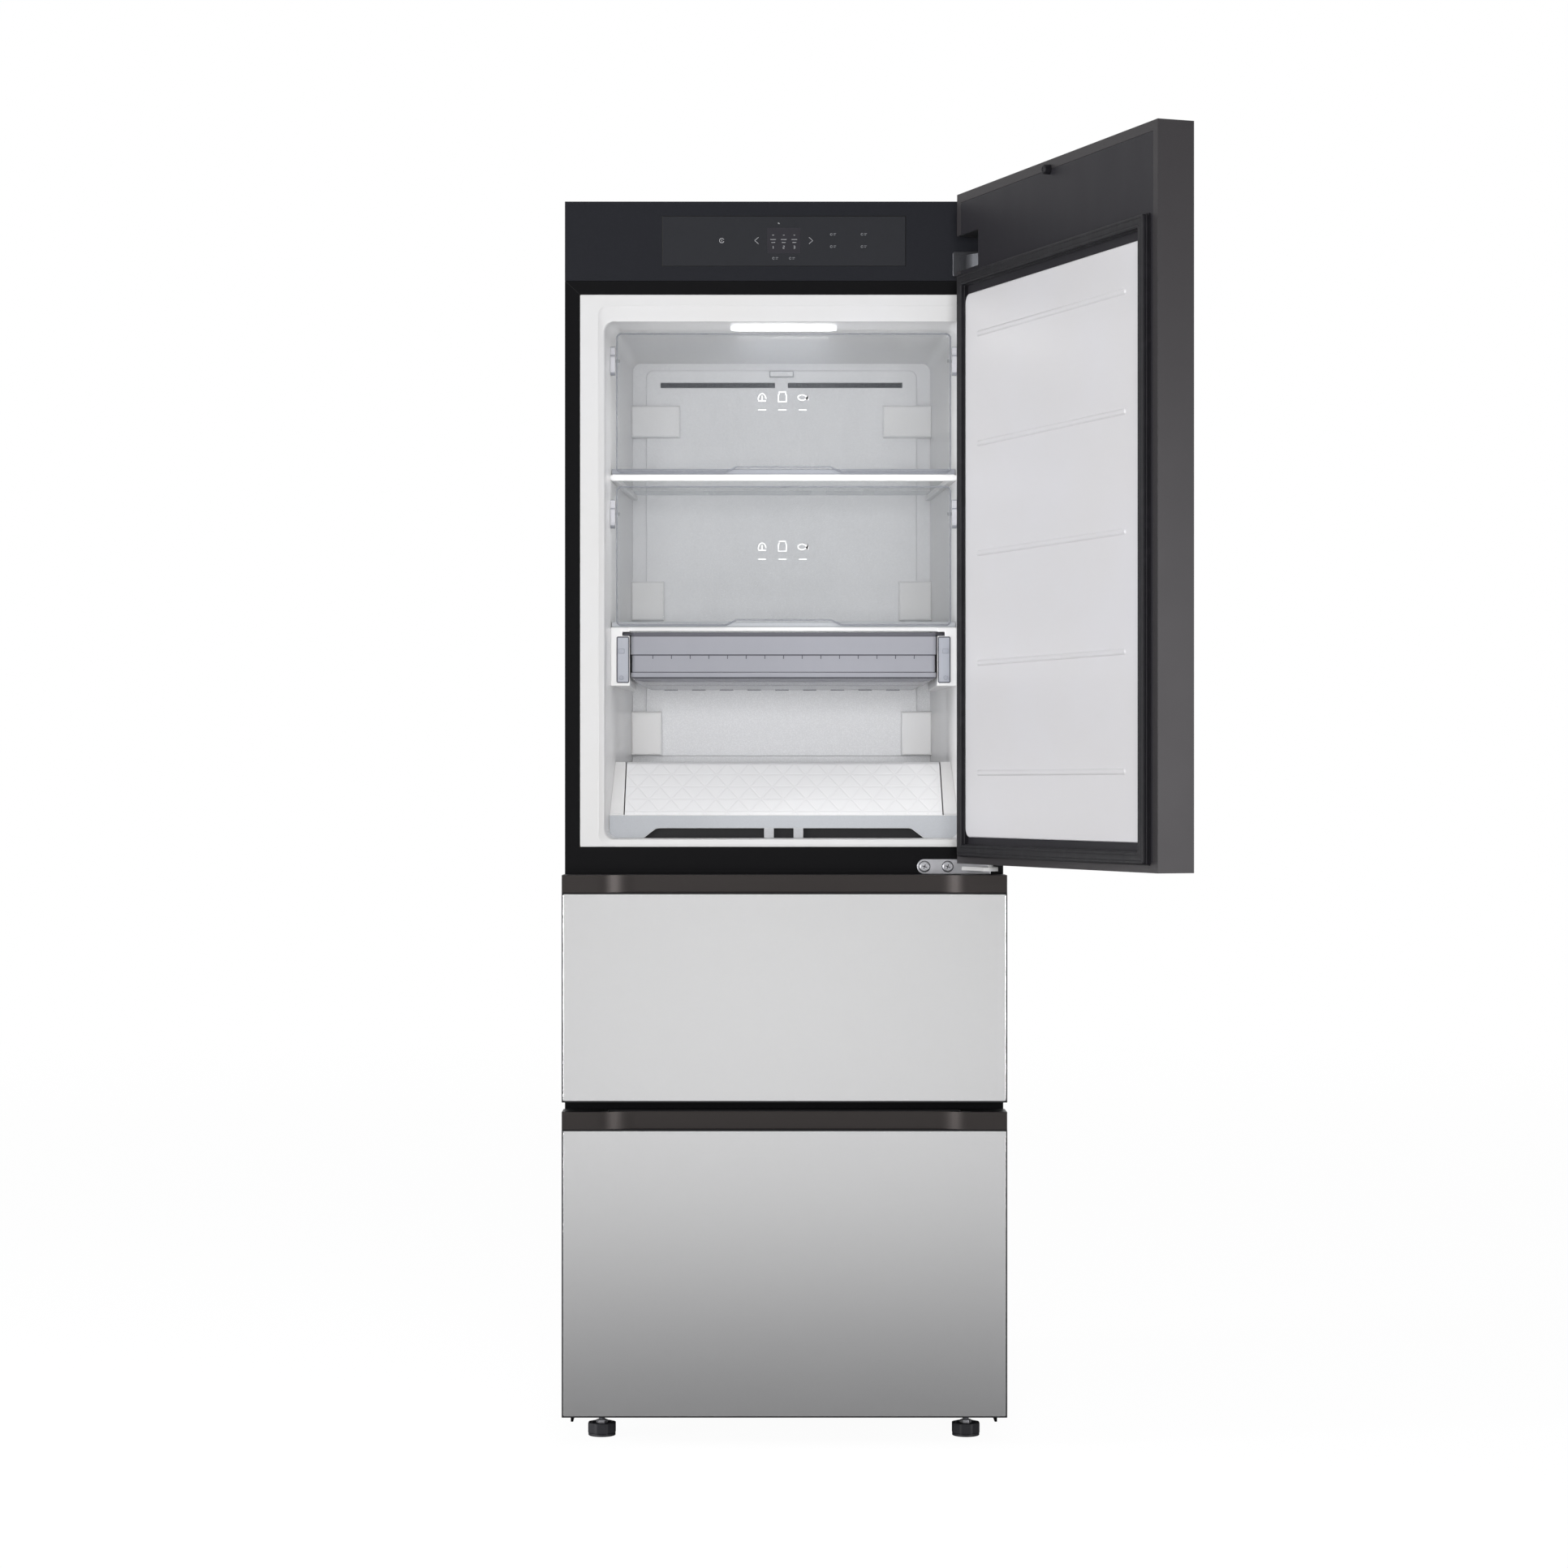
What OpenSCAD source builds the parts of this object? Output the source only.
// Upright kimchi refrigerator: one hinged compartment above two drawers.
// The front faces -Y, the floor is z = 0, and the origin is the centre of the cabinet's footprint.
// The door is drawn open, as it stands in use; everything else is drawn shut.

/* [Cabinet] */
// Width of the cabinet
cabinet_w = 663; // [600:1:760]
// Depth of the cabinet without door and drawer fronts
cabinet_d = 670; // [640:1:740]
// Height of the cabinet's base above the floor
base_z = 44; // [40:1:60]
// Thickness of the outer sheet
sheet_t = 1; // [0.6:0.1:2]
// Thickness of the rear sheet
rear_t = 1.5; // [0.8:0.1:3]
// Thickness of the base pan
base_t = 2; // [1:0.1:3]
// Wall thickness of the inner liners
liner_t = 2.5; // [1.5:0.1:3.5]

/* [Fronts] */
// Height of the lower drawer front
lower_front_h = 457; // [420:1:500]
// Gap between the two drawer fronts
drawer_gap = 14; // [8:0.5:18]
// Height of the middle drawer front
middle_front_h = 340; // [300:1:380]
// Gap between the middle drawer front and the door
hinge_gap = 17; // [15:0.5:20]
// Height of the door
door_h = 1002; // [900:1:1100]
// How far the door and the drawer fronts stand out past the cabinet's sides
front_overhang = 1.5; // [0:0.5:4]
// Thickness of the door and the drawer fronts
front_t = 55; // [50:1:65]
// Gap between the fronts and the cabinet
front_gap = 12; // [11:0.5:14]
// Thickness of the sheet on the door and the drawer fronts
skin_t = 1; // [0.6:0.1:1.2]
// How far the door stands above the cabinet
door_over_top = 2; // [0:0.5:6]
// Clearance under the lower drawer front
front_lift = 0.3; // [0.2:0.1:2]

/* [Front frame] */
// Width of the black frame at the sides
frame_side_w = 23; // [18:0.5:27]
// Height of the black bar over the upper opening
frame_top_h = 21; // [15:0.5:30]
// Depth of the black frame and the fascia
frame_depth = 24; // [20:0.5:30]
// How far each front covers the frame above and below its opening
front_overlap = 24; // [22:0.5:28]
// Height of the insulated floor under the lower opening
floor_insulation = 41; // [30:0.5:50]
// Height of the control fascia
fascia_h = 120; // [110:1:150]
// Width of the touch plate
touch_w = 368; // [300:1:420]
// Height of the touch plate
touch_h = 76; // [50:1:80]
// Thickness of the touch plate
touch_t = 1.5; // [1:0.1:3]

/* [Upper compartment] */
// Width of the liner's flat flange at each side
side_flange = 43; // [40:0.5:50]
// Height of the liner's flange at the top
top_flange = 41; // [30:0.5:43]
// Height of the liner's lip at the bottom
lip_h = 12.5; // [8:0.5:16]
// Depth of the visible back wall behind the front of the cabinet
back_wall_depth = 500; // [480:1:515]
// Depth of the liner behind the front of the cabinet
upper_depth = 550; // [545:1:580]
// How far each side wall leans in from the front to the visible back wall
side_draft = 25; // [15:0.5:28]
// How far the flange stands in from the side walls
flange_lip = 5; // [3:0.5:7]
// How far the ceiling drops from the front to the visible back wall
ceiling_drop = 5; // [2:0.5:20]
// Thickness of the back wall
back_wall_t = 3; // [2:0.1:4]
// Distance of the raised duct cover from the side walls
duct_inset = 22.5; // [14:0.5:36]
// Thickness of the duct cover
duct_t = 6; // [4:0.5:9]
// Distance of the duct cover from the back wall's top and bottom
duct_margin = 12; // [8:0.5:20]
// Height of the two air slots
slot_h = 8; // [5:0.5:12]
// Distance of the air slots from the duct cover's sides
slot_inset = 23.5; // [16:0.5:40]
// Distance between the two air slots
slot_gap = 21; // [12:0.5:30]
// Drop from the duct cover's top to the air slots
slot_drop = 20; // [12:0.5:30]
// Width of the lamp's lens in the ceiling
lamp_w = 162; // [100:1:220]
// Depth of the lens from front to rear
lamp_d = 28; // [16:0.5:36]
// How far the lens stands out under the ceiling
lamp_h = 4.5; // [3:0.5:8]
// Distance of the lens behind the front of the cabinet
lamp_depth = 46; // [34:0.5:50]

/* [Shelves] */
// Depth of the guards behind the front of the cabinet
guard_depth = 90; // [80:1:110]
// Drop from the upper opening's top to the top of the upper shelf
upper_shelf_drop = 256; // [240:1:280]
// Distance between the tops of the two shelves
shelf_pitch = 235; // [225:1:245]
// Thickness of the shelves
shelf_t = 8; // [5:0.5:10]
// Clearance between shelves and liner
shelf_gap = 1.5; // [0.8:0.1:2.5]
// Depth of the bright trim on the shelves' front edge
shelf_trim_d = 9; // [6:0.5:14]
// Width and height of the ledges that carry the shelves
ledge = 9; // [7:0.5:11]

/* [Guards] */
// Gap between a swing guard and the side walls, with room for the pivot brackets
guard_side_gap = 8.5; // [7:0.1:12]
// Thickness of each swing guard
guard_t = 3; // [2:0.1:4]
// Height of each swing guard
guard_h = 215; // [205:1:219]
// Distance from a guard's top edge to its pivot
guard_pivot_drop = 43; // [30:1:50]
// Radius of the guard's pivot pins
guard_pin_r = 2.5; // [1.8:0.1:3.5]
// Length of the pivot pins inside and outside the guard's edge
guard_pin_l = 6; // [4:0.5:6.5]
// Radial running clearance of pins, shafts and bolts
pin_play = 0.05; // [0.02:0.01:0.1]
// How far a guard's lower edge hangs below the top of its shelf
guard_overlap = 6; // [2:0.5:8]
// Gap between a guard and the shelf's trim
guard_gap = 2; // [1:0.1:4]
// Height of the finger notch in a guard's lower edge
notch_h = 8; // [4:0.5:12]
// Width of the finger notch at its narrow top
notch_w = 145; // [80:1:200]
// Width that each end of the notch slopes over
notch_slope = 16; // [6:0.5:24]

/* [Tray] */
// Depth of the tray from front to rear
tray_d = 310; // [260:1:340]
// Height of the tray
tray_h = 72; // [60:1:80]
// Thickness of the rail housings outside the tray's rim
rail_wall = 2; // [1.5:0.1:4]
// Wall thickness of the tray
tray_t = 3; // [2:0.1:4]
// Width that the tray's rim stands out at each side
tray_rim = 12; // [8:0.5:14]
// Thickness of the tray's rim
tray_rim_t = 4; // [3:0.5:6]
// Clearance round the tray's rim in its rails
tray_play = 1; // [0.5:0.1:2]
// Distance of the tray's rim below the lower shelf
tray_drop = 8; // [6:0.5:12]
// Gap between the tray's body and the rail housings
tray_side_gap = 1.5; // [0.8:0.1:3]
// Height of the rail housings
rail_housing_h = 90; // [84:1:94]

/* [Floor of the upper compartment] */
// Gap between the sloped floor plate and the side walls at the rear
floor_side_gap = 2; // [1:0.1:4]
// Thickness of the sloped floor plate
floor_t = 3; // [2:0.1:4]
// Height of the plate's front edge above the liner's floor
floor_front_rise = 37; // [30:0.5:45]
// Height of the plate's rear part above the liner's floor
floor_back_rise = 117; // [100:1:130]
// Depth of the sloped part
slope_d = 100; // [80:1:140]
// Depth of the bottom trim behind the front of the cabinet
trim_depth = 60; // [50:1:70]
// Thickness of the bottom trim
trim_t = 4; // [3:0.5:8]
// Height of the bottom trim at its ends
trim_h = 35; // [28:0.5:40]
// Height of the cut-out under the trim's middle
trim_cut_h = 15; // [10:0.5:22]
// Distance of the cut-out's straight part from the trim's ends
trim_cut_inset = 72.5; // [40:0.5:90]
// Width that each end of the cut-out slopes over
trim_cut_slope = 19; // [8:0.5:24]
// Width of the two posts under the trim
post_w = 15; // [10:0.5:20]
// Depth of the posts
post_d = 10; // [6:0.5:14]
// Distance of the posts from the middle
post_x = 22.5; // [14:0.5:40]

/* [Drawers] */
// Room for runners between a bin and the liner at each side
bin_side_room = 28.5; // [20:0.5:36]
// Wall thickness of a bin
bin_t = 3; // [2:0.1:4]
// Depth of the middle bin
middle_bin_d = 440; // [400:1:460]
// Depth of the lower bin
lower_bin_d = 345; // [300:1:350]
// Clearance over and under the bins in their liners
bin_clear = 18; // [15:0.5:26]
// Depth of the liners behind the front of the cabinet
drawer_depth = 495; // [485:1:510]
// Depth of the lower liner below its step
lower_step_depth = 375; // [370:1:385]
// Height of the lower liner's deep part, measured from its top
lower_deep_h = 150; // [120:1:170]
// Height of the handle strip on each drawer
strip_h = 26.5; // [22:0.5:32]
// Thickness of the handle strip
strip_t = 3; // [2:0.1:4]
// Depth that the handle strip bends back in the middle
strip_recess = 12; // [8:0.5:16]
// Distance from each end of the strip to where it bends back
strip_end = 50; // [40:1:70]
// Width that the bend in the strip takes
strip_bend = 14; // [10:0.5:20]
// Depth of the finger groove behind the strip
grip_d = 24; // [18:0.5:28]
// Height of the lip round each drawer liner's opening
drawer_lip = 10; // [6:0.5:12]
// Width of the dark edge that shows round the silver panel
panel_edge = 2.2; // [1:0.1:4]

/* [Runners] */
// Thickness of each of the three runner members
runner_t = 4; // [3:0.1:4.5]
// Gap between runner members
runner_gap = 0.6; // [0.4:0.1:1]
// Height of the fixed runner member
runner_h = 45; // [36:1:50]
// Height that each inner member is lower than the one that carries it
runner_step = 8; // [4:0.5:10]
// Length of the runner members
runner_l = 340; // [300:1:345]

/* [Door] */
// Angle at which the door stands open
door_open = 110.3; // [60:0.1:115]
// Distance of the door's pivot from the door's hinge edge
pivot_inset = 24.5; // [20:0.5:30]
// Distance of the door's pivot behind the door's front
pivot_depth = 11; // [11:0.5:14]
// Width of the door's edge frame
edge_w = 14; // [12:0.5:15]
// Thickness of the door's inner plate
inner_plate_t = 3; // [2:0.1:4]
// Distance of the gaskets from the edges of the door and the drawer fronts
gasket_inset = 21; // [20:0.5:23]
// Width of the gaskets
gasket_w = 20; // [14:0.5:22]
// Distance from a gasket to the cabinet when shut
gasket_gap = 1; // [0.6:0.1:2]
// How far the door's white liner stands out
door_liner_h = 5; // [3:0.5:7]
// Height of the door liner's raised ribs
rib_h = 3; // [1:0.5:4]
// Number of raised ribs on the door liner
rib_count = 5; // [3:1:6]
// Distance between two ribs
rib_pitch = 162; // [120:1:165]
// Width of each rib
rib_w = 9; // [5:0.5:12]
// Distance of the ribs' ends from the edge of the door
rib_inset = 85; // [70:1:110]
// Radius of the door's rubber bumper
bumper_r = 7; // [5:0.5:10]

/* [Hinges] */
// Radius of the hinge pins
hinge_pin_r = 4; // [3:0.1:5]
// Radius of the bushes in the door
bush_r = 8; // [7:0.5:9]
// Length of the bushes
bush_l = 18; // [12:0.5:24]
// Half width of the top hinge arm
arm_half_w = 8; // [7:0.5:8.5]
// Height of the top hinge arm
arm_h = 22; // [14:0.5:26]
// Width of the arm's foot at the cabinet
arm_foot_w = 28; // [22:0.5:32]
// Thickness of the hinge plates
hinge_plate_t = 3; // [2:0.1:4]
// Thickness of the middle hinge's arm
middle_arm_t = 6; // [4:0.5:7]
// Height of the recess in the door for the top hinge
recess_h = 54; // [44:1:60]
// Width of the recess
recess_w = 78; // [72:1:90]
// Distance of the top arm's foot from the pivot, towards the middle
arm_foot_shift = 29.5; // [26:0.5:33]
// Height of the middle hinge's plate
hinge_plate_h = 22.5; // [18:0.5:24]
// Length of the middle hinge's plate from its round end to the pivot
hinge_plate_l = 107.5; // [90:0.5:116]
// Radius of the middle hinge's eye round its pin
hinge_eye_r = 12; // [9:0.5:14]
// Distance between the plate's two screws
screw_pitch = 35; // [28:0.5:42]
// Height of the screws' heads
screw_h = 3; // [2:0.1:4]
// Radius of the hinge screws' heads
screw_r = 8; // [5:0.5:9]

/* [Feet and rollers] */
// Distance of feet and rollers from the cabinet's sides
foot_inset = 54.5; // [45:0.5:60]
// Distance of the feet behind the front of the cabinet
foot_setback = 40; // [32:1:60]
// Radius of the feet
foot_r = 23; // [18:0.5:25]
// Height of the feet
foot_h = 20; // [15:0.5:22]
// Radius of the foot bolts
foot_bolt_r = 5; // [4:0.5:6]
// Thickness of the foot brackets' plate
bracket_t = 4; // [3:0.1:5]
// Distance of a foot bracket's outer edge from its bolt
bracket_x = 47; // [40:0.5:54]
// Depth of the foot brackets
bracket_d = 60; // [40:1:70]
// Height of the foot's round base and of its lock nut
foot_base_h = 4; // [3:0.5:5]
// Distance of the rollers from the rear of the cabinet
roller_setback = 60; // [50:1:80]
// Radius of the rollers
roller_r = 20; // [16:0.5:22]
// Width of the rollers
roller_w = 24; // [16:0.5:30]
// Thickness of the roller brackets' cheeks
cheek_t = 3; // [2:0.1:4]
// Radius of the roller axles
axle_r = 4; // [3:0.5:5]

/* [Machine space] */
// Height of the machine space
machine_h = 250; // [240:1:255]
// Depth of the machine space
machine_d = 225; // [215:1:230]
// Radius of the compressor's shell
compressor_r = 68; // [55:1:72]
// Radius of the condenser fan
condenser_fan_r = 60; // [45:1:65]
// Radius of the evaporator fan
evaporator_fan_r = 50; // [35:1:56]
// Height of the compressor's shell
compressor_h = 150; // [120:1:170]
// Distance of the compressor from the cabinet's side
compressor_inset = 140; // [110:1:170]
// Radius of the compressor's rubber pads
pad_r = 8; // [6:0.5:12]
// Height of the compressor's rubber pads
pad_h = 14; // [10:0.5:20]
// Width of the condenser
condenser_w = 90; // [60:1:110]
// Distance of the condenser from the walls of its space
condenser_inset = 20; // [10:1:30]
// Free height over the condenser and round the vents
condenser_headroom = 50; // [30:1:80]
// Distance between the condenser's fins
condenser_pitch = 12; // [8:0.5:20]
// Number of vents in the rear cover
vent_count = 12; // [6:1:16]
// Distance between two vents
vent_pitch = 14; // [10:0.5:18]
// Width of a vent
vent_w = 6; // [3:0.5:8]
// Radius of the power lead's gland
gland_r = 12; // [8:0.5:16]
// Height of the gland
gland_h = 11; // [8:0.5:16]
// Distance of the gland from the cabinet's side
gland_inset = 90; // [50:1:120]
// Distance of the gland from the rear cover's top
gland_drop = 40; // [25:1:60]

/* [Cooling parts] */
// Height of the evaporator
evaporator_h = 280; // [200:1:320]
// Drop from the back wall's top to the evaporator
evaporator_drop = 260; // [220:1:300]
// Distance of the evaporator's tubes from the walls
evaporator_inset = 45; // [30:1:80]
// Distance between the evaporator's fins
fin_pitch = 20; // [14:1:30]
// Thickness of the fins
fin_t = 2; // [1:0.1:3]
// Radius of the tubes
tube_r = 4.5; // [3:0.1:6]
// Distance between the tubes
tube_pitch = 42; // [30:1:60]
// Gap round the cooling parts
cooling_gap = 5; // [4:0.5:8]
// Drop from the back wall's top to the evaporator fan's axis
evaporator_fan_drop = 130; // [100:1:160]
// Depth of the fans
fan_d = 18; // [12:0.5:20]
// Radius of the fans' hubs
fan_hub_r = 14; // [10:0.5:18]
// Tilt of the fan blades
blade_tilt = 32; // [20:1:34]
// Thickness of the fan blades
blade_t = 1.6; // [1:0.1:3]
// Height of the condenser fan over the base pan
fan_lift = 14; // [8:0.5:24]
// Radius of the fan motors
motor_r = 18; // [12:0.5:22]
// Gap between a fan and its motor
shaft_gap = 3; // [2:0.5:5]
// Number of blades on each fan
fan_blades = 5; // [3:1:7]
// Radius of the fan motors' shafts
shaft_r = 2; // [1.5:0.1:3]

/* [Hidden] */
$fn = 48;
tiny = 0.01;

cabinet_x = cabinet_w / 2;
front_y = -cabinet_d / 2;
rear_y = cabinet_d / 2;
shell_y = front_y + frame_depth;
shell_x = cabinet_x - sheet_t;

// Fronts, from the floor up
lower_z0 = base_z + front_lift;
lower_z1 = lower_z0 + lower_front_h;
middle_z0 = lower_z1 + drawer_gap;
middle_z1 = middle_z0 + middle_front_h;
door_z0 = middle_z1 + hinge_gap;
door_z1 = door_z0 + door_h;
cabinet_top = door_z1 - door_over_top;
front_x = cabinet_x + front_overhang;
inner_y = front_y - front_gap;
outer_y = inner_y - front_t;
core_y = outer_y + skin_t;

// Openings of the black frame
opening_x = cabinet_x - frame_side_w;
fascia_z0 = cabinet_top - fascia_h;
upper_open = [door_z0 + front_overlap, fascia_z0 - frame_top_h];
middle_open = [middle_z0 + front_overlap, middle_z1 - front_overlap];
lower_open = [base_z + floor_insulation, lower_z1 - front_overlap];

// Upper compartment
flange_x = opening_x - side_flange;
wall_front_x = flange_x + flange_lip;
floor_z = upper_open[0] + lip_h;
ceiling_z = upper_open[1] - top_flange;
back_y = front_y + back_wall_depth;
back_x = wall_front_x - side_draft;
liner_back_y = front_y + upper_depth;
back_wall_z0 = floor_z + floor_back_rise;
back_wall_z1 = ceiling_z - ceiling_drop;
duct_y = back_y - duct_t;
guard_y = front_y + guard_depth;
upper_shelf_z = upper_open[1] - upper_shelf_drop;
lower_shelf_z = upper_shelf_z - shelf_pitch;
shelf_y = guard_y + guard_t / 2 + guard_gap;
rail_z1 = lower_shelf_z - shelf_t;
tray_z1 = rail_z1 - tray_drop;
tray_y1 = guard_y + tray_d;

// Half width between the side walls at depth y
function wall_x(y) = wall_front_x - side_draft * (y - front_y) / back_wall_depth;

guard_x = wall_x(guard_y) - guard_side_gap;
rim_x = wall_x(tray_y1 + ledge) - rail_wall - tray_play;
tray_x = rim_x - tray_rim;
duct_x = back_x - duct_inset;
floor_x = wall_x(duct_y) - floor_side_gap;

// Drawers
drawer_x = opening_x - side_flange;
middle_space = [middle_open[0] + drawer_lip, middle_open[1] - drawer_lip];
lower_space = [lower_open[0] + drawer_lip, lower_open[1] - drawer_lip];
drawer_back_y = front_y + drawer_depth;
lower_step_y = front_y + lower_step_depth;
lower_step_z = lower_space[1] - lower_deep_h;
middle_bin = [middle_space[0] + bin_clear, middle_space[1] - bin_clear];
lower_bin = [lower_space[0] + bin_clear, lower_space[1] - bin_clear];
bin_x = drawer_x - bin_side_room;
runner_drop = 70;
runner_y = front_y + 5;

// Door and hinges
pivot_x = front_x - pivot_inset;
pivot_y = outer_y + pivot_depth;
recess_z0 = fascia_z0 + 6;
arm_z0 = recess_z0 + 8;
arm_z1 = arm_z0 + arm_h;
arm_foot_x = pivot_x - arm_foot_shift;
pin_short = 2;
middle_arm_z0 = middle_z1 + (hinge_gap - middle_arm_t) / 2;
middle_arm_z1 = middle_arm_z0 + middle_arm_t;
gasket_y = front_y - gasket_gap;

// Feet, rollers and machine space
foot_x = cabinet_x - foot_inset;
foot_y = front_y + foot_setback;
roller_y = rear_y - roller_setback;
machine_y = rear_y - machine_d;
machine_z0 = base_z + base_t;
machine_z1 = base_z + machine_h;

// Box from its lowest to its highest corner
module block(low, high) {
    translate(low) cube(high - low);
}

// Block as wide to the left as to the right
module wide(half_w, y0, y1, z0, z1) {
    block([-half_w, y0, z0], [half_w, y1, z1]);
}

// Copy on the other side of the middle plane
module both_sides() {
    children();
    mirror([1, 0, 0]) children();
}

// Outline in X and Z, drawn out along Y
module upright(y0, y1) {
    translate([0, y1, 0]) rotate([90, 0, 0]) linear_extrude(y1 - y0) children();
}

// Outline in Y and Z, drawn out along X
module sideways(half_w) {
    translate([-half_w, 0, 0]) rotate([90, 0, 90]) linear_extrude(2 * half_w) children();
}

// Cylinders along Y and X
module rod_y(r, y0, y1) {
    translate([0, y1, 0]) rotate([90, 0, 0]) cylinder(r = r, h = y1 - y0);
}

module rod_x(r, x0, x1) {
    translate([x0, 0, 0]) rotate([0, 90, 0]) cylinder(r = r, h = x1 - x0);
}

// Flat outline with round corners
module round_rect(half_w, z0, z1, r) {
    translate([-half_w + r, z0]) square([2 * (half_w - r), z1 - z0]);
    translate([-half_w, z0 + r]) square([2 * half_w, z1 - z0 - 2 * r]);
    for (x = [-half_w + r, half_w - r], z = [z0 + r, z1 - r]) {
        translate([x, z]) circle(r);
    }
}

// Turns what is drawn on the shut door to where the door stands
module on_door() {
    translate([pivot_x, pivot_y, 0]) rotate([0, 0, door_open]) translate([-pivot_x, -pivot_y, 0]) children();
}

// Room between the upper liner's walls, larger all round by grow
module upper_room(grow) {
    intersection() {
        translate([0, 0, floor_z - grow]) linear_extrude(ceiling_z - floor_z + 2 * grow) polygon([
            [-wall_front_x - grow, front_y + liner_t],
            [wall_front_x + grow, front_y + liner_t],
            [back_x + grow, back_y],
            [back_x + grow, liner_back_y + grow],
            [-back_x - grow, liner_back_y + grow],
            [-back_x - grow, back_y]
        ]);
        sideways(cabinet_x) polygon([
            [front_y, floor_z - grow],
            [liner_back_y + grow, floor_z - grow],
            [liner_back_y + grow, back_wall_z1 + grow],
            [back_y, back_wall_z1 + grow],
            [front_y, ceiling_z + grow]
        ]);
    }
}

// Room inside a drawer's liner, straight, larger all round by grow
module drawer_room(span, back, grow) {
    wide(drawer_x + grow, front_y + liner_t, back + grow, span[0] - grow, span[1] + grow);
}

// Room inside the lower liner, with the step over the machine space
module lower_room(grow) {
    drawer_room(lower_space, lower_step_y, grow);
    drawer_room([lower_step_z, lower_space[1]], drawer_back_y, grow);
}

// Flat flange of a liner in one opening of the frame
module flange(span) {
    wide(opening_x, front_y, front_y + liner_t, span[0], span[1]);
}

// Hole in a flange
module flange_hole(half_w, span) {
    wide(half_w, front_y - 1, front_y + liner_t + tiny, span[0], span[1]);
}

// Ledge along the side walls under a shelf
module ledge_band(z1, y0) {
    intersection() {
        difference() {
            upper_room(liner_t / 2);
            upper_room(-ledge);
        }
        wide(cabinet_x, y0, duct_y, z1 - ledge, z1);
    }
}

module outer_cabinet() {
    color("#8f8f92") difference() {
        wide(cabinet_x, shell_y, rear_y, base_z, cabinet_top);
        wide(shell_x, shell_y - 1, rear_y + 1, base_z - 1, cabinet_top - sheet_t);
    }
}

module rear_panel() {
    color("#9a9a9d") wide(shell_x, rear_y - rear_t, rear_y, machine_z1, cabinet_top - sheet_t);
}

module base_pan() {
    color("#55565a") wide(shell_x, shell_y, rear_y, base_z, machine_z0);
}

module front_frame() {
    color("#17181a") difference() {
        wide(cabinet_x, front_y, shell_y, base_z, fascia_z0);
        for (span = [upper_open, middle_open, lower_open]) {
            wide(opening_x, front_y - 1, shell_y + 1, span[0], span[1]);
        }
    }
}

module control_fascia() {
    color("#28292d") difference() {
        wide(cabinet_x, front_y, shell_y, fascia_z0, cabinet_top);
        touch_place(touch_t);
    }
}

// Room for the touch plate, half sunk in the fascia
module touch_place(t) {
    middle_z = (fascia_z0 + cabinet_top) / 2;
    wide(touch_w / 2, front_y - 0.5, front_y - 0.5 + t, middle_z - touch_h / 2, middle_z + touch_h / 2);
}

module touch_plate() {
    color("#2f3034") touch_place(touch_t);
}

module upper_liner() {
    color("#e6e7e9") {
        difference() {
            union() {
                flange(upper_open);
                upper_room(liner_t);
            }
            upper_room(0);
            flange_hole(flange_x, [floor_z, ceiling_z]);
        }
        ledge_band(upper_shelf_z - shelf_t, shelf_y);
        ledge_band(lower_shelf_z - shelf_t, tray_y1 + ledge);
    }
}

module middle_liner() {
    color("#e6e7e9") difference() {
        union() {
            flange(middle_open);
            drawer_room(middle_space, drawer_back_y, liner_t);
        }
        drawer_room(middle_space, drawer_back_y, 0);
        flange_hole(drawer_x, middle_space);
    }
}

module lower_liner() {
    color("#e6e7e9") difference() {
        union() {
            flange(lower_open);
            lower_room(liner_t);
        }
        lower_room(0);
        flange_hole(drawer_x, lower_space);
    }
}

module foam_insulation() {
    color("#d9cfa0") difference() {
        wide(shell_x, front_y + liner_t, rear_y - rear_t, machine_z0, cabinet_top - sheet_t);
        difference() {
            wide(cabinet_x, front_y, shell_y, base_z, cabinet_top);
            for (span = [upper_open, middle_open, lower_open]) {
                wide(opening_x, front_y, shell_y, span[0], span[1]);
            }
        }
        upper_room(liner_t);
        drawer_room(middle_space, drawer_back_y, liner_t);
        lower_room(liner_t);
        wide(cabinet_x, machine_y, rear_y, base_z, machine_z1);
    }
}

// Two air slots, side by side, through the back wall and its duct cover
module air_slots(y0, y1) {
    slot_z1 = back_wall_z1 - duct_margin - slot_drop;
    both_sides() {
        block([slot_gap / 2, y0, slot_z1 - slot_h], [duct_x - slot_inset, y1, slot_z1]);
    }
}

module back_wall() {
    color("#c9cace") difference() {
        wide(back_x, back_y, back_y + back_wall_t, back_wall_z0, back_wall_z1);
        air_slots(back_y - 1, back_y + back_wall_t + 1);
    }
}

module duct_cover() {
    color("#c6c7cb") difference() {
        upright(duct_y, back_y) {
            round_rect(duct_x, back_wall_z0 + duct_margin, back_wall_z1 - duct_margin, duct_margin);
        }
        air_slots(duct_y - 1, back_y + 1);
    }
}

module lamp_lens() {
    y0 = front_y + lamp_depth;
    y1 = y0 + lamp_d;
    z1 = ceiling_z - ceiling_drop * (y1 - front_y) / back_wall_depth;
    color("#fdfdfd") wide(lamp_w / 2, y0, y1, z1 - lamp_h, z1);
}

// Outline of a shelf between the side walls
module shelf_outline(y0, y1, gap) {
    polygon([
        [-wall_x(y0) + gap, y0],
        [wall_x(y0) - gap, y0],
        [wall_x(y1) - gap, y1],
        [-wall_x(y1) + gap, y1]
    ]);
}

module shelves() {
    color("#dfe3e8") for (z = [upper_shelf_z, lower_shelf_z]) {
        translate([0, 0, z - shelf_t]) linear_extrude(shelf_t) {
            shelf_outline(shelf_y + shelf_trim_d, duct_y - shelf_gap, shelf_gap);
        }
    }
}

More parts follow.
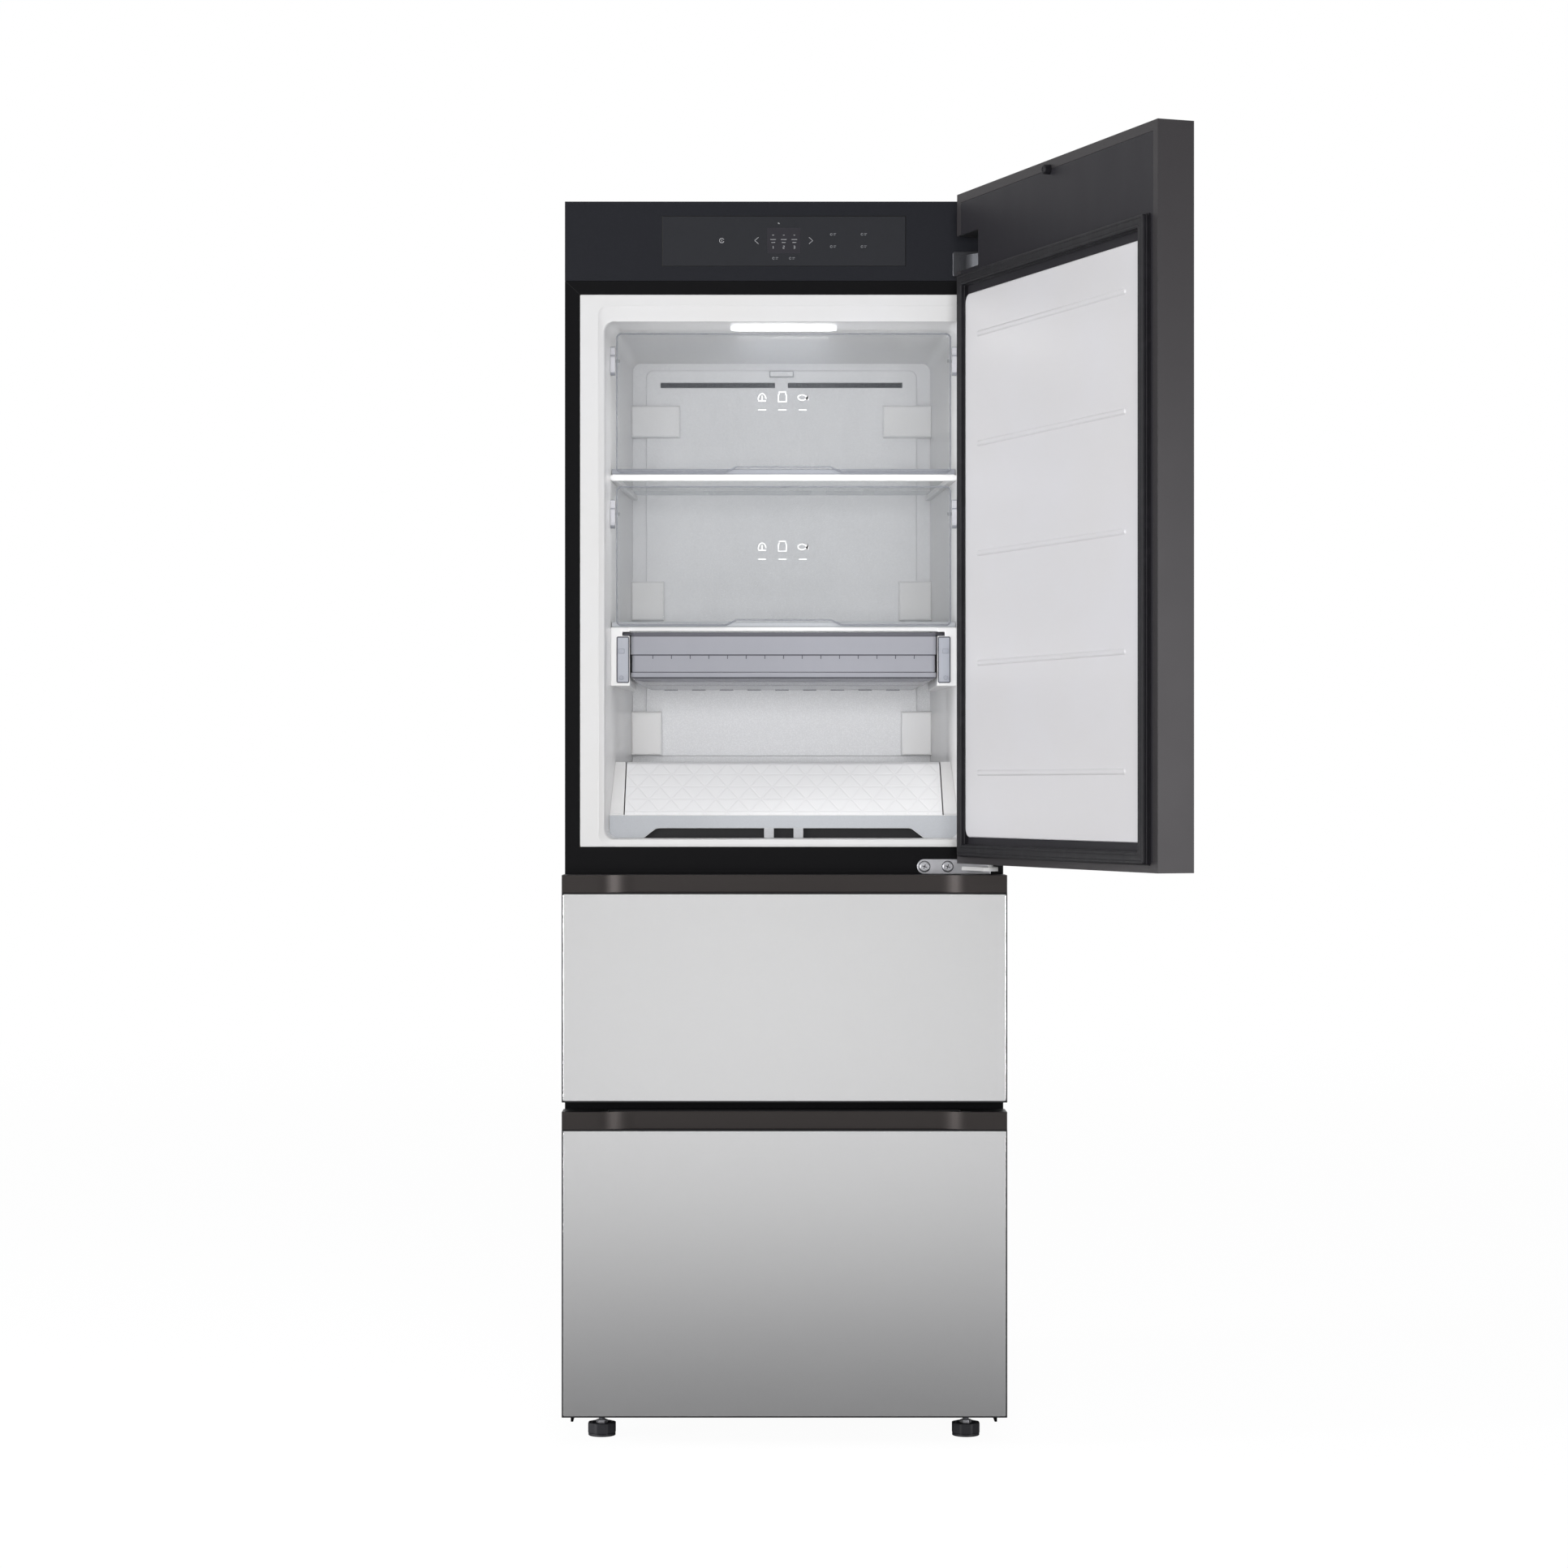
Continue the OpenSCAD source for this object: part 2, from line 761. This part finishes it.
module shelf_trims() {
    color("#cfd2d8") for (z = [upper_shelf_z, lower_shelf_z]) {
        translate([0, 0, z - shelf_t]) linear_extrude(shelf_t + 1) {
            shelf_outline(shelf_y, shelf_y + shelf_trim_d, shelf_gap);
        }
    }
}

module tray_rails() {
    groove = [tray_z1 - tray_rim_t - tray_play, tray_z1 + tray_play];
    rail_x = tray_x + tray_side_gap;
    color("#e4e5e8") both_sides() difference() {
        intersection() {
            block(
                [rail_x, shelf_y, rail_z1 - rail_housing_h],
                [cabinet_x, tray_y1 + ledge, rail_z1]
            );
            upper_room(0);
        }
        block(
            [rail_x - 1, shelf_y - 1, groove[0]],
            [rim_x + tray_play, tray_y1 + tray_play, groove[1]]
        );
    }
}

module see_through_tray() {
    tray_z0 = tray_z1 - tray_h;
    color([0.68, 0.70, 0.76, 0.6]) difference() {
        union() {
            wide(tray_x, guard_y, tray_y1, tray_z0, tray_z1);
            wide(rim_x, shelf_y + tray_rim, tray_y1, tray_z1 - tray_rim_t, tray_z1);
        }
        wide(tray_x - tray_t, guard_y + tray_t, tray_y1 - tray_t, tray_z0 + tray_t, tray_z1 + 1);
    }
}

// Height of the pivot of the guard in front of a shelf
function guard_z0(shelf_z) = shelf_z - guard_overlap;
function guard_pivot_z(shelf_z) = guard_z0(shelf_z) + guard_h - guard_pivot_drop;

module guard_brackets() {
    bracket_x = guard_x + 1;
    color("#d5d6da") for (shelf_z = [upper_shelf_z, lower_shelf_z]) {
        z = guard_pivot_z(shelf_z);
        both_sides() difference() {
            intersection() {
                block([bracket_x, guard_y - 8, z - 22], [cabinet_x, guard_y + 8, z + 22]);
                upper_room(0);
            }
            translate([0, guard_y, z]) rod_x(guard_pin_r + pin_play, bracket_x - 1, cabinet_x);
        }
    }
}

module guard(shelf_z) {
    z0 = guard_z0(shelf_z);
    z1 = z0 + guard_h;
    color([0.78, 0.79, 0.82, 0.5]) {
        difference() {
            upright(guard_y - guard_t / 2, guard_y + guard_t / 2) {
                round_rect(guard_x, z0, z1, 8);
            }
            upright(guard_y - guard_t, guard_y + guard_t) polygon([
                [-notch_w / 2 - notch_slope, z0 - 1],
                [notch_w / 2 + notch_slope, z0 - 1],
                [notch_w / 2, z0 + notch_h],
                [-notch_w / 2, z0 + notch_h]
            ]);
        }
        translate([0, guard_y, guard_pivot_z(shelf_z)]) both_sides() {
            rod_x(guard_pin_r, guard_x - guard_pin_l, guard_x + guard_pin_l);
        }
    }
}

module upper_guard() {
    guard(upper_shelf_z);
}

module lower_guard() {
    guard(lower_shelf_z);
}

// Rests for boxes in the rear corners of each tier: height of the lower edge, height and width
module corner_blocks() {
    blocks = [[upper_shelf_z + 86, 52, 82], [lower_shelf_z + 20, 64, 55], [back_wall_z0 + 13, 72, 52]];
    color("#d2d3d7") for (b = blocks) {
        both_sides() intersection() {
            block([back_x - b[2], duct_y - 20, b[0]], [cabinet_x, duct_y, b[0] + b[1]]);
            upper_room(0);
        }
    }
}

// Sheet that covers the liner's floor, as an outline in Y and Z
module floor_outline(t) {
    y0 = front_y + trim_depth + 15;
    polygon([
        [y0 + t, floor_z - (t > 0 ? 1 : 0)],
        [y0 + t, floor_z + floor_front_rise - t],
        [y0 + slope_d + t / 2, floor_z + floor_back_rise - t],
        [duct_y - shelf_gap - t, floor_z + floor_back_rise - t],
        [duct_y - shelf_gap - t, floor_z - (t > 0 ? 1 : 0)]
    ]);
}

module floor_cover() {
    color("#e2e3e6") difference() {
        sideways(floor_x) floor_outline(0);
        sideways(floor_x + 1) floor_outline(floor_t);
    }
}

module bottom_trim() {
    y0 = front_y + trim_depth;
    half_w = wall_x(y0 + trim_t) - 0.5;
    cut_x = half_w - trim_cut_inset;
    color("#c3c6ce") {
        upright(y0, y0 + trim_t) difference() {
            translate([-half_w, floor_z]) square([2 * half_w, trim_h]);
            polygon([
                [-cut_x - trim_cut_slope, floor_z - 1],
                [cut_x + trim_cut_slope, floor_z - 1],
                [cut_x, floor_z + trim_cut_h],
                [-cut_x, floor_z + trim_cut_h]
            ]);
        }
        both_sides() block(
            [post_x - post_w / 2, y0, floor_z],
            [post_x + post_w / 2, y0 + post_d, floor_z + trim_cut_h]
        );
    }
}

// Cooling parts behind the back wall: fin pack, fan and motor
evaporator_z1 = back_wall_z1 - evaporator_drop;
evaporator_fan_z = back_wall_z1 - evaporator_fan_drop;
evaporator_fan_y = back_y + back_wall_t + cooling_gap;

module evaporator() {
    tube_x = back_x - evaporator_inset;
    fins_each_side = floor(tube_x / fin_pitch) - 1;
    mid_y = (back_y + back_wall_t + liner_back_y) / 2;
    color("#b9bcc0") {
        for (i = [-fins_each_side:fins_each_side]) {
            block(
                [i * fin_pitch - fin_t / 2, evaporator_fan_y, evaporator_z1 - evaporator_h],
                [i * fin_pitch + fin_t / 2, liner_back_y - cooling_gap, evaporator_z1]
            );
        }
        for (z = [evaporator_z1 - evaporator_h + tube_pitch / 2:tube_pitch:evaporator_z1 - tube_r]) {
            translate([0, mid_y, z]) rod_x(tube_r, -tube_x, tube_x);
        }
    }
}

// Fan on the Z axis: a hub with a bore and tilted blades, from z = 0 up to fan_d
module fan(r) {
    blade_w = 1.2 * fan_d;
    difference() {
        union() {
            cylinder(r = fan_hub_r, h = fan_d);
            for (i = [0:fan_blades - 1]) {
                rotate([0, 0, 360 * i / fan_blades]) translate([fan_hub_r - 2, 0, fan_d / 2]) {
                    rotate([blade_tilt, 0, 0]) block(
                        [0, -blade_w / 2, -blade_t / 2],
                        [r - fan_hub_r + 1, blade_w / 2, blade_t / 2]
                    );
                }
            }
        }
        translate([0, 0, -1]) cylinder(r = shaft_r + pin_play, h = fan_d + 2);
    }
}

// Motor behind a fan that starts at z = 0: a can, and a shaft through the hub
module motor(length) {
    translate([0, 0, fan_d + shaft_gap]) cylinder(r = motor_r, h = length);
    cylinder(r = shaft_r, h = fan_d + shaft_gap + 1);
}

module on_evaporator_fan() {
    translate([0, evaporator_fan_y, evaporator_fan_z]) rotate([-90, 0, 0]) children();
}

module evaporator_fan() {
    color("#dddddf") on_evaporator_fan() fan(evaporator_fan_r);
}

condenser_x = -shell_x + condenser_inset;
condenser_fan_z = machine_z0 + condenser_fan_r + fan_lift;
condenser_fan_x = condenser_x + condenser_w + 2 * cooling_gap;
machine_mid_y = machine_y + machine_d / 2;

module on_condenser_fan() {
    translate([condenser_fan_x, machine_mid_y, condenser_fan_z]) rotate([0, 90, 0]) children();
}

module condenser_fan() {
    color("#3a3b3e") on_condenser_fan() fan(condenser_fan_r);
}

module fan_motors() {
    motor_l = liner_back_y - evaporator_fan_y - fan_d - shaft_gap;
    can_x = condenser_fan_x + fan_d + shaft_gap;
    stand_in = motor_l / 5;
    color("#77797d") {
        on_evaporator_fan() motor(motor_l);
        on_condenser_fan() motor(motor_l);
        block(
            [can_x + stand_in, machine_mid_y - motor_r / 2, machine_z0],
            [can_x + motor_l - stand_in, machine_mid_y + motor_r / 2, condenser_fan_z]
        );
    }
}

module condenser() {
    y0 = machine_y + condenser_inset;
    y1 = rear_y - condenser_inset;
    z1 = machine_z1 - condenser_headroom;
    color("#3f4145") {
        for (y = [y0 + condenser_pitch:condenser_pitch:y1 - condenser_pitch]) {
            block([condenser_x, y, machine_z0], [condenser_x + condenser_w, y + fin_t, z1]);
        }
        for (z = [machine_z0 + tube_pitch / 2:tube_pitch:z1 - tube_r], side = [0.25, 0.75]) {
            translate([condenser_x + side * condenser_w, 0, z]) rod_y(tube_r, y0, y1);
        }
    }
}

module compressor() {
    dome_r = 1.4 * compressor_r;
    plate_w = compressor_r + 2 * pad_r;
    color("#1c1c1e") translate([shell_x - compressor_inset, machine_mid_y, machine_z0]) {
        translate([0, 0, pad_h]) intersection() {
            cylinder(r = compressor_r, h = compressor_h);
            translate([0, 0, compressor_h - dome_r]) sphere(dome_r);
        }
        wide(plate_w, -compressor_r / 2, compressor_r / 2, pad_h - bracket_t, pad_h + tiny);
        both_sides() for (y = [-compressor_r / 3, compressor_r / 3]) {
            translate([plate_w - pad_r, y, 0]) cylinder(r = pad_r, h = pad_h);
        }
    }
}

module machine_cover() {
    color("#8b8c90") difference() {
        wide(shell_x, rear_y - rear_t, rear_y, machine_z0, machine_z1);
        for (i = [0:vent_count - 1]) {
            x = condenser_x + i * vent_pitch;
            block(
                [x, rear_y - rear_t - 1, machine_z0 + condenser_headroom],
                [x + vent_w, rear_y + 1, machine_z1 - condenser_headroom]
            );
        }
    }
}

module power_gland() {
    color("#111112") translate([shell_x - gland_inset, 0, machine_z1 - gland_drop]) {
        rod_y(gland_r, rear_y, rear_y + gland_h / 2);
        rod_y(0.7 * gland_r, rear_y + gland_h / 2 - tiny, rear_y + gland_h);
    }
}

module foot_brackets() {
    boss_r = 2 * foot_bolt_r;
    boss_h = base_z - foot_h - 2 * bracket_t;
    plate_y0 = -foot_setback / 3;
    color("#202123") both_sides() translate([foot_x, foot_y, 0]) difference() {
        union() {
            block([-foot_r, plate_y0, base_z - bracket_t], [bracket_x, bracket_d + plate_y0, base_z]);
            block([bracket_x - bracket_t, plate_y0, foot_h + 2], [bracket_x, bracket_d + plate_y0, base_z]);
            translate([0, 0, base_z - boss_h]) cylinder(r = boss_r, h = boss_h);
        }
        cylinder(r = foot_bolt_r + pin_play, h = base_z + 1);
    }
}

// Foot: an eight-sided knob on a round base, with its bolt and lock nut
module foot() {
    color("#232325") {
        cylinder(r = 0.9 * foot_r, h = foot_base_h);
        translate([0, 0, foot_base_h]) rotate([0, 0, 22.5]) {
            cylinder(r = foot_r, h = foot_h - foot_base_h, $fn = 8);
        }
        translate([0, 0, foot_h]) cylinder(r = 1.8 * foot_bolt_r, h = foot_base_h, $fn = 6);
        cylinder(r = foot_bolt_r, h = base_z - 1);
    }
}

module left_foot() {
    translate([-foot_x, foot_y, 0]) foot();
}

module right_foot() {
    translate([foot_x, foot_y, 0]) foot();
}

module roller_brackets() {
    cheek_x = roller_w / 2 + 1;
    axle_x = cheek_x + cheek_t + axle_r / 2;
    color("#8d8f93") both_sides() translate([foot_x, roller_y, 0]) {
        both_sides() block(
            [cheek_x, -0.7 * roller_r, roller_r - 2 * axle_r],
            [cheek_x + cheek_t, 0.7 * roller_r, base_z]
        );
        translate([0, 0, roller_r]) rod_x(axle_r, -axle_x, axle_x);
    }
}

module roller(x) {
    color("#2a2a2c") translate([x, roller_y, roller_r]) difference() {
        rod_x(roller_r, -roller_w / 2, roller_w / 2);
        rod_x(axle_r + pin_play, -roller_w, roller_w);
    }
}

module left_roller() {
    roller(-foot_x);
}

module right_roller() {
    roller(foot_x);
}

// Arm from the cabinet to the door's pivot; it stays narrow near the pin, to clear the open door
module top_hinge() {
    waist = [(arm_foot_x - pivot_x) / 2, (front_y - pivot_y) / 2];
    color("#7d7f83") {
        translate([0, 0, arm_z0]) linear_extrude(arm_h) {
            translate([pivot_x, pivot_y]) circle(arm_half_w);
            polygon([
                [arm_foot_x - arm_foot_w / 2, front_y],
                [pivot_x + waist[0] - arm_half_w, pivot_y + waist[1] - 2],
                [pivot_x - arm_half_w * 0.88, pivot_y - arm_half_w * 0.47],
                [pivot_x + arm_half_w * 0.88, pivot_y + arm_half_w * 0.47],
                [pivot_x + waist[0] + arm_half_w, pivot_y + waist[1] + 4],
                [arm_foot_x + arm_foot_w / 2, front_y]
            ]);
        }
        translate([pivot_x, pivot_y, recess_z0 - bush_l + pin_short]) {
            cylinder(r = hinge_pin_r, h = arm_z1 - recess_z0 + bush_l - pin_short);
        }
        block(
            [arm_foot_x - arm_foot_w / 2 - 10, front_y - hinge_plate_t, arm_z0 - 8],
            [arm_foot_x + arm_foot_w / 2 + 10, front_y, arm_z1 + 8]
        );
    }
}

// Plate on the cabinet, an arm under the door, its pin and two screws
module middle_hinge() {
    plate_r = hinge_plate_h / 2;
    plate_x0 = pivot_x - hinge_plate_l;
    screw_z = middle_z1 + plate_r;
    color("#a2a2a7") {
        upright(front_y - hinge_plate_t, front_y) {
            translate([plate_x0 + plate_r, screw_z]) circle(plate_r);
            translate([plate_x0 + plate_r, middle_z1]) {
                square([hinge_plate_l - hinge_plate_h / 3, hinge_plate_h]);
            }
        }
        translate([0, 0, middle_arm_z0]) linear_extrude(middle_arm_t) {
            translate([pivot_x, pivot_y]) circle(hinge_eye_r);
            polygon([
                [pivot_x - 3.5 * hinge_eye_r, front_y],
                [pivot_x - hinge_eye_r, pivot_y],
                [pivot_x + hinge_eye_r, pivot_y],
                [pivot_x + hinge_eye_r / 3, front_y]
            ]);
        }
        translate([pivot_x, pivot_y, middle_arm_z0]) {
            cylinder(r = hinge_pin_r, h = door_z0 + bush_l - pin_short - middle_arm_z0);
        }
        for (x = [plate_x0 + plate_r, plate_x0 + plate_r + screw_pitch]) {
            translate([x, 0, screw_z]) {
                rod_y(screw_r, front_y - hinge_plate_t - screw_h, front_y - hinge_plate_t + tiny);
            }
        }
    }
}

// Recess in the door for the top hinge arm
module hinge_recess() {
    block([front_x - recess_w, core_y, recess_z0], [front_x + 1, inner_y + 1, recess_z0 + recess_h]);
}

// Places of the two bushes in the door
module at_bushes() {
    for (z = [door_z0, recess_z0 - bush_l]) {
        translate([pivot_x, pivot_y, z]) children();
    }
}

module bush_holes() {
    at_bushes() translate([0, 0, -tiny]) cylinder(r = bush_r, h = bush_l + 2 * tiny);
}

module door_outer_panel() {
    color("#c6c8ca") on_door() upright(outer_y, core_y) {
        round_rect(front_x - panel_edge, door_z0 + panel_edge, door_z1 - panel_edge, 1);
    }
}

module door_edge_frame() {
    color("#464648") on_door() difference() {
        wide(front_x, core_y, inner_y, door_z0, door_z1);
        wide(front_x - edge_w, core_y - 1, inner_y + 1, door_z0 + edge_w, door_z1 - edge_w);
        hinge_recess();
        bush_holes();
    }
}

module door_foam() {
    color("#d9cfa0") on_door() difference() {
        wide(front_x - edge_w, core_y, inner_y - inner_plate_t, door_z0 + edge_w, door_z1 - edge_w);
        hinge_recess();
        bush_holes();
    }
}

module door_inner_plate() {
    plate_y = inner_y - inner_plate_t;
    color("#37363b") on_door() difference() {
        wide(front_x - edge_w, plate_y, inner_y, door_z0 + edge_w, door_z1 - edge_w);
        hinge_recess();
    }
}

// The door's gasket, from the lower edge up to the fascia
gasket_z = [door_z0 + 10, fascia_z0];
door_liner_z = [gasket_z[0] + gasket_w + 10, gasket_z[1] - gasket_w - 13];
door_liner_x = front_x - gasket_inset - gasket_w - 0.5;

module door_liner() {
    rib_x = front_x - rib_inset;
    middle_z = (door_liner_z[0] + door_liner_z[1]) / 2 + 16;
    color("#d6d5d9") on_door() {
        upright(inner_y, inner_y + door_liner_h) {
            round_rect(door_liner_x, door_liner_z[0], door_liner_z[1], 12);
        }
        for (i = [0:rib_count - 1]) {
            z = middle_z + (i - (rib_count - 1) / 2) * rib_pitch;
            upright(inner_y + door_liner_h - tiny, inner_y + door_liner_h + rib_h) {
                round_rect(rib_x, z - rib_w / 2, z + rib_w / 2, rib_w / 2 - tiny);
            }
        }
    }
}

// Ring between two outlines, from the inner face of a front to just short of the cabinet
module gasket(z0, z1) {
    half_w = front_x - gasket_inset;
    upright(inner_y, gasket_y) difference() {
        round_rect(half_w, z0, z1, 6);
        round_rect(half_w - gasket_w, z0 + gasket_w, z1 - gasket_w, 2);
    }
}

module door_gasket() {
    color("#2a2a2e") on_door() gasket(gasket_z[0], gasket_z[1]);
}

module door_bumper() {
    color("#1b1b1c") on_door() translate([6, 0, door_z1 - 14]) rod_y(bumper_r, inner_y, gasket_y - 0.5);
}

module door_bushes() {
    color("#b8b8b8") on_door() at_bushes() difference() {
        cylinder(r = bush_r, h = bush_l);
        translate([0, 0, -1]) cylinder(r = hinge_pin_r + pin_play, h = bush_l + 2);
    }
}

// Line of the handle strip seen from above, moved back by depth
function strip_line(depth) = [
    [-front_x + 0.5, outer_y + depth],
    [-front_x + strip_end, outer_y + depth],
    [-front_x + strip_end + strip_bend, outer_y + strip_recess + depth],
    [front_x - strip_end - strip_bend, outer_y + strip_recess + depth],
    [front_x - strip_end, outer_y + depth],
    [front_x - 0.5, outer_y + depth]
];
function reversed(list) = [for (i = [len(list) - 1:-1:0]) list[i]];

module front_panel(z0, z1) {
    upright(outer_y, core_y) {
        round_rect(front_x - panel_edge, z0 + panel_edge, z1 - strip_h - panel_edge, 1);
    }
}

// Insulated body of a drawer front, with the finger groove behind the strip
module front_core(z0, z1) {
    groove_y = outer_y + strip_recess + strip_t;
    difference() {
        wide(front_x, core_y, inner_y, z0, z1);
        translate([0, 0, z1 - strip_h]) linear_extrude(strip_h + 1) polygon(concat(
            [[-front_x - 1, outer_y - 1], [-front_x - 1, outer_y + strip_t]],
            strip_line(strip_t),
            [[front_x + 1, outer_y + strip_t], [front_x + 1, outer_y - 1]]
        ));
        wide(
            front_x - strip_end - strip_bend - 4, groove_y, groove_y + grip_d,
            z1 - strip_h + 4, z1 + 1
        );
    }
}

module handle_strip(z1) {
    translate([0, 0, z1 - strip_h]) linear_extrude(strip_h) {
        polygon(concat(strip_line(0), reversed(strip_line(strip_t))));
    }
}

// Runner members, from the bin outwards: 0 on the bin, 1 between, 2 on the liner
module runner(index, bin_z1) {
    x0 = bin_x + index * (runner_t + runner_gap);
    half_h = (runner_h - (2 - index) * runner_step) / 2;
    z = bin_z1 - runner_drop;
    both_sides() block([x0, runner_y, z - half_h], [x0 + runner_t, runner_y + runner_l, z + half_h]);
}

// Open bin with its runner members
module bin(span, depth) {
    difference() {
        wide(bin_x, inner_y, inner_y + depth, span[0], span[1]);
        wide(bin_x - bin_t, inner_y + bin_t, inner_y + depth - bin_t, span[0] + bin_t, span[1] + 1);
    }
    runner(0, span[1]);
}

module fixed_runners() {
    stand_off_x = bin_x + 3 * runner_t + 2 * runner_gap;
    color("#a9abaf") for (bin_z1 = [middle_bin[1], lower_bin[1]]) {
        runner(2, bin_z1);
        both_sides() for (y = [runner_y + 20, runner_y + runner_l - 50]) {
            block(
                [stand_off_x - tiny, y, bin_z1 - runner_drop - 12],
                [drawer_x, y + 30, bin_z1 - runner_drop + 12]
            );
        }
    }
}

module middle_front_panel() {
    color("#c9cbcd") front_panel(middle_z0, middle_z1);
}

module middle_front_core() {
    color("#1a1a1c") front_core(middle_z0, middle_z1);
}

module middle_handle_strip() {
    color("#3b3837") handle_strip(middle_z1);
}

module middle_gasket() {
    color("#2a2a2e") gasket(middle_z0 + gasket_inset, middle_z1 - gasket_inset);
}

module middle_bin_box() {
    color("#dfe0e2") bin(middle_bin, middle_bin_d);
}

module middle_runner_link() {
    color("#b7b9bd") runner(1, middle_bin[1]);
}

module lower_front_panel() {
    color("#a4a5a7") front_panel(lower_z0, lower_z1);
}

module lower_front_core() {
    color("#1a1a1c") front_core(lower_z0, lower_z1);
}

module lower_handle_strip() {
    color("#3b3837") handle_strip(lower_z1);
}

module lower_gasket() {
    color("#2a2a2e") gasket(lower_z0 + gasket_inset, lower_z1 - gasket_inset);
}

module lower_bin_box() {
    color("#dfe0e2") bin(lower_bin, lower_bin_d);
}

module lower_runner_link() {
    color("#b7b9bd") runner(1, lower_bin[1]);
}

outer_cabinet();
rear_panel();
base_pan();
front_frame();
control_fascia();
touch_plate();
upper_liner();
middle_liner();
lower_liner();
foam_insulation();
back_wall();
duct_cover();
lamp_lens();
shelves();
shelf_trims();
tray_rails();
guard_brackets();
corner_blocks();
floor_cover();
bottom_trim();
evaporator();
fan_motors();
compressor();
condenser();
machine_cover();
power_gland();
foot_brackets();
roller_brackets();
top_hinge();
middle_hinge();
fixed_runners();
door_outer_panel();
door_edge_frame();
door_foam();
door_inner_plate();
door_liner();
door_gasket();
door_bumper();
door_bushes();
middle_front_panel();
middle_front_core();
middle_handle_strip();
middle_gasket();
middle_bin_box();
lower_front_panel();
lower_front_core();
lower_handle_strip();
lower_gasket();
lower_bin_box();
middle_runner_link();
lower_runner_link();
upper_guard();
lower_guard();
see_through_tray();
evaporator_fan();
condenser_fan();
left_foot();
right_foot();
left_roller();
right_roller();
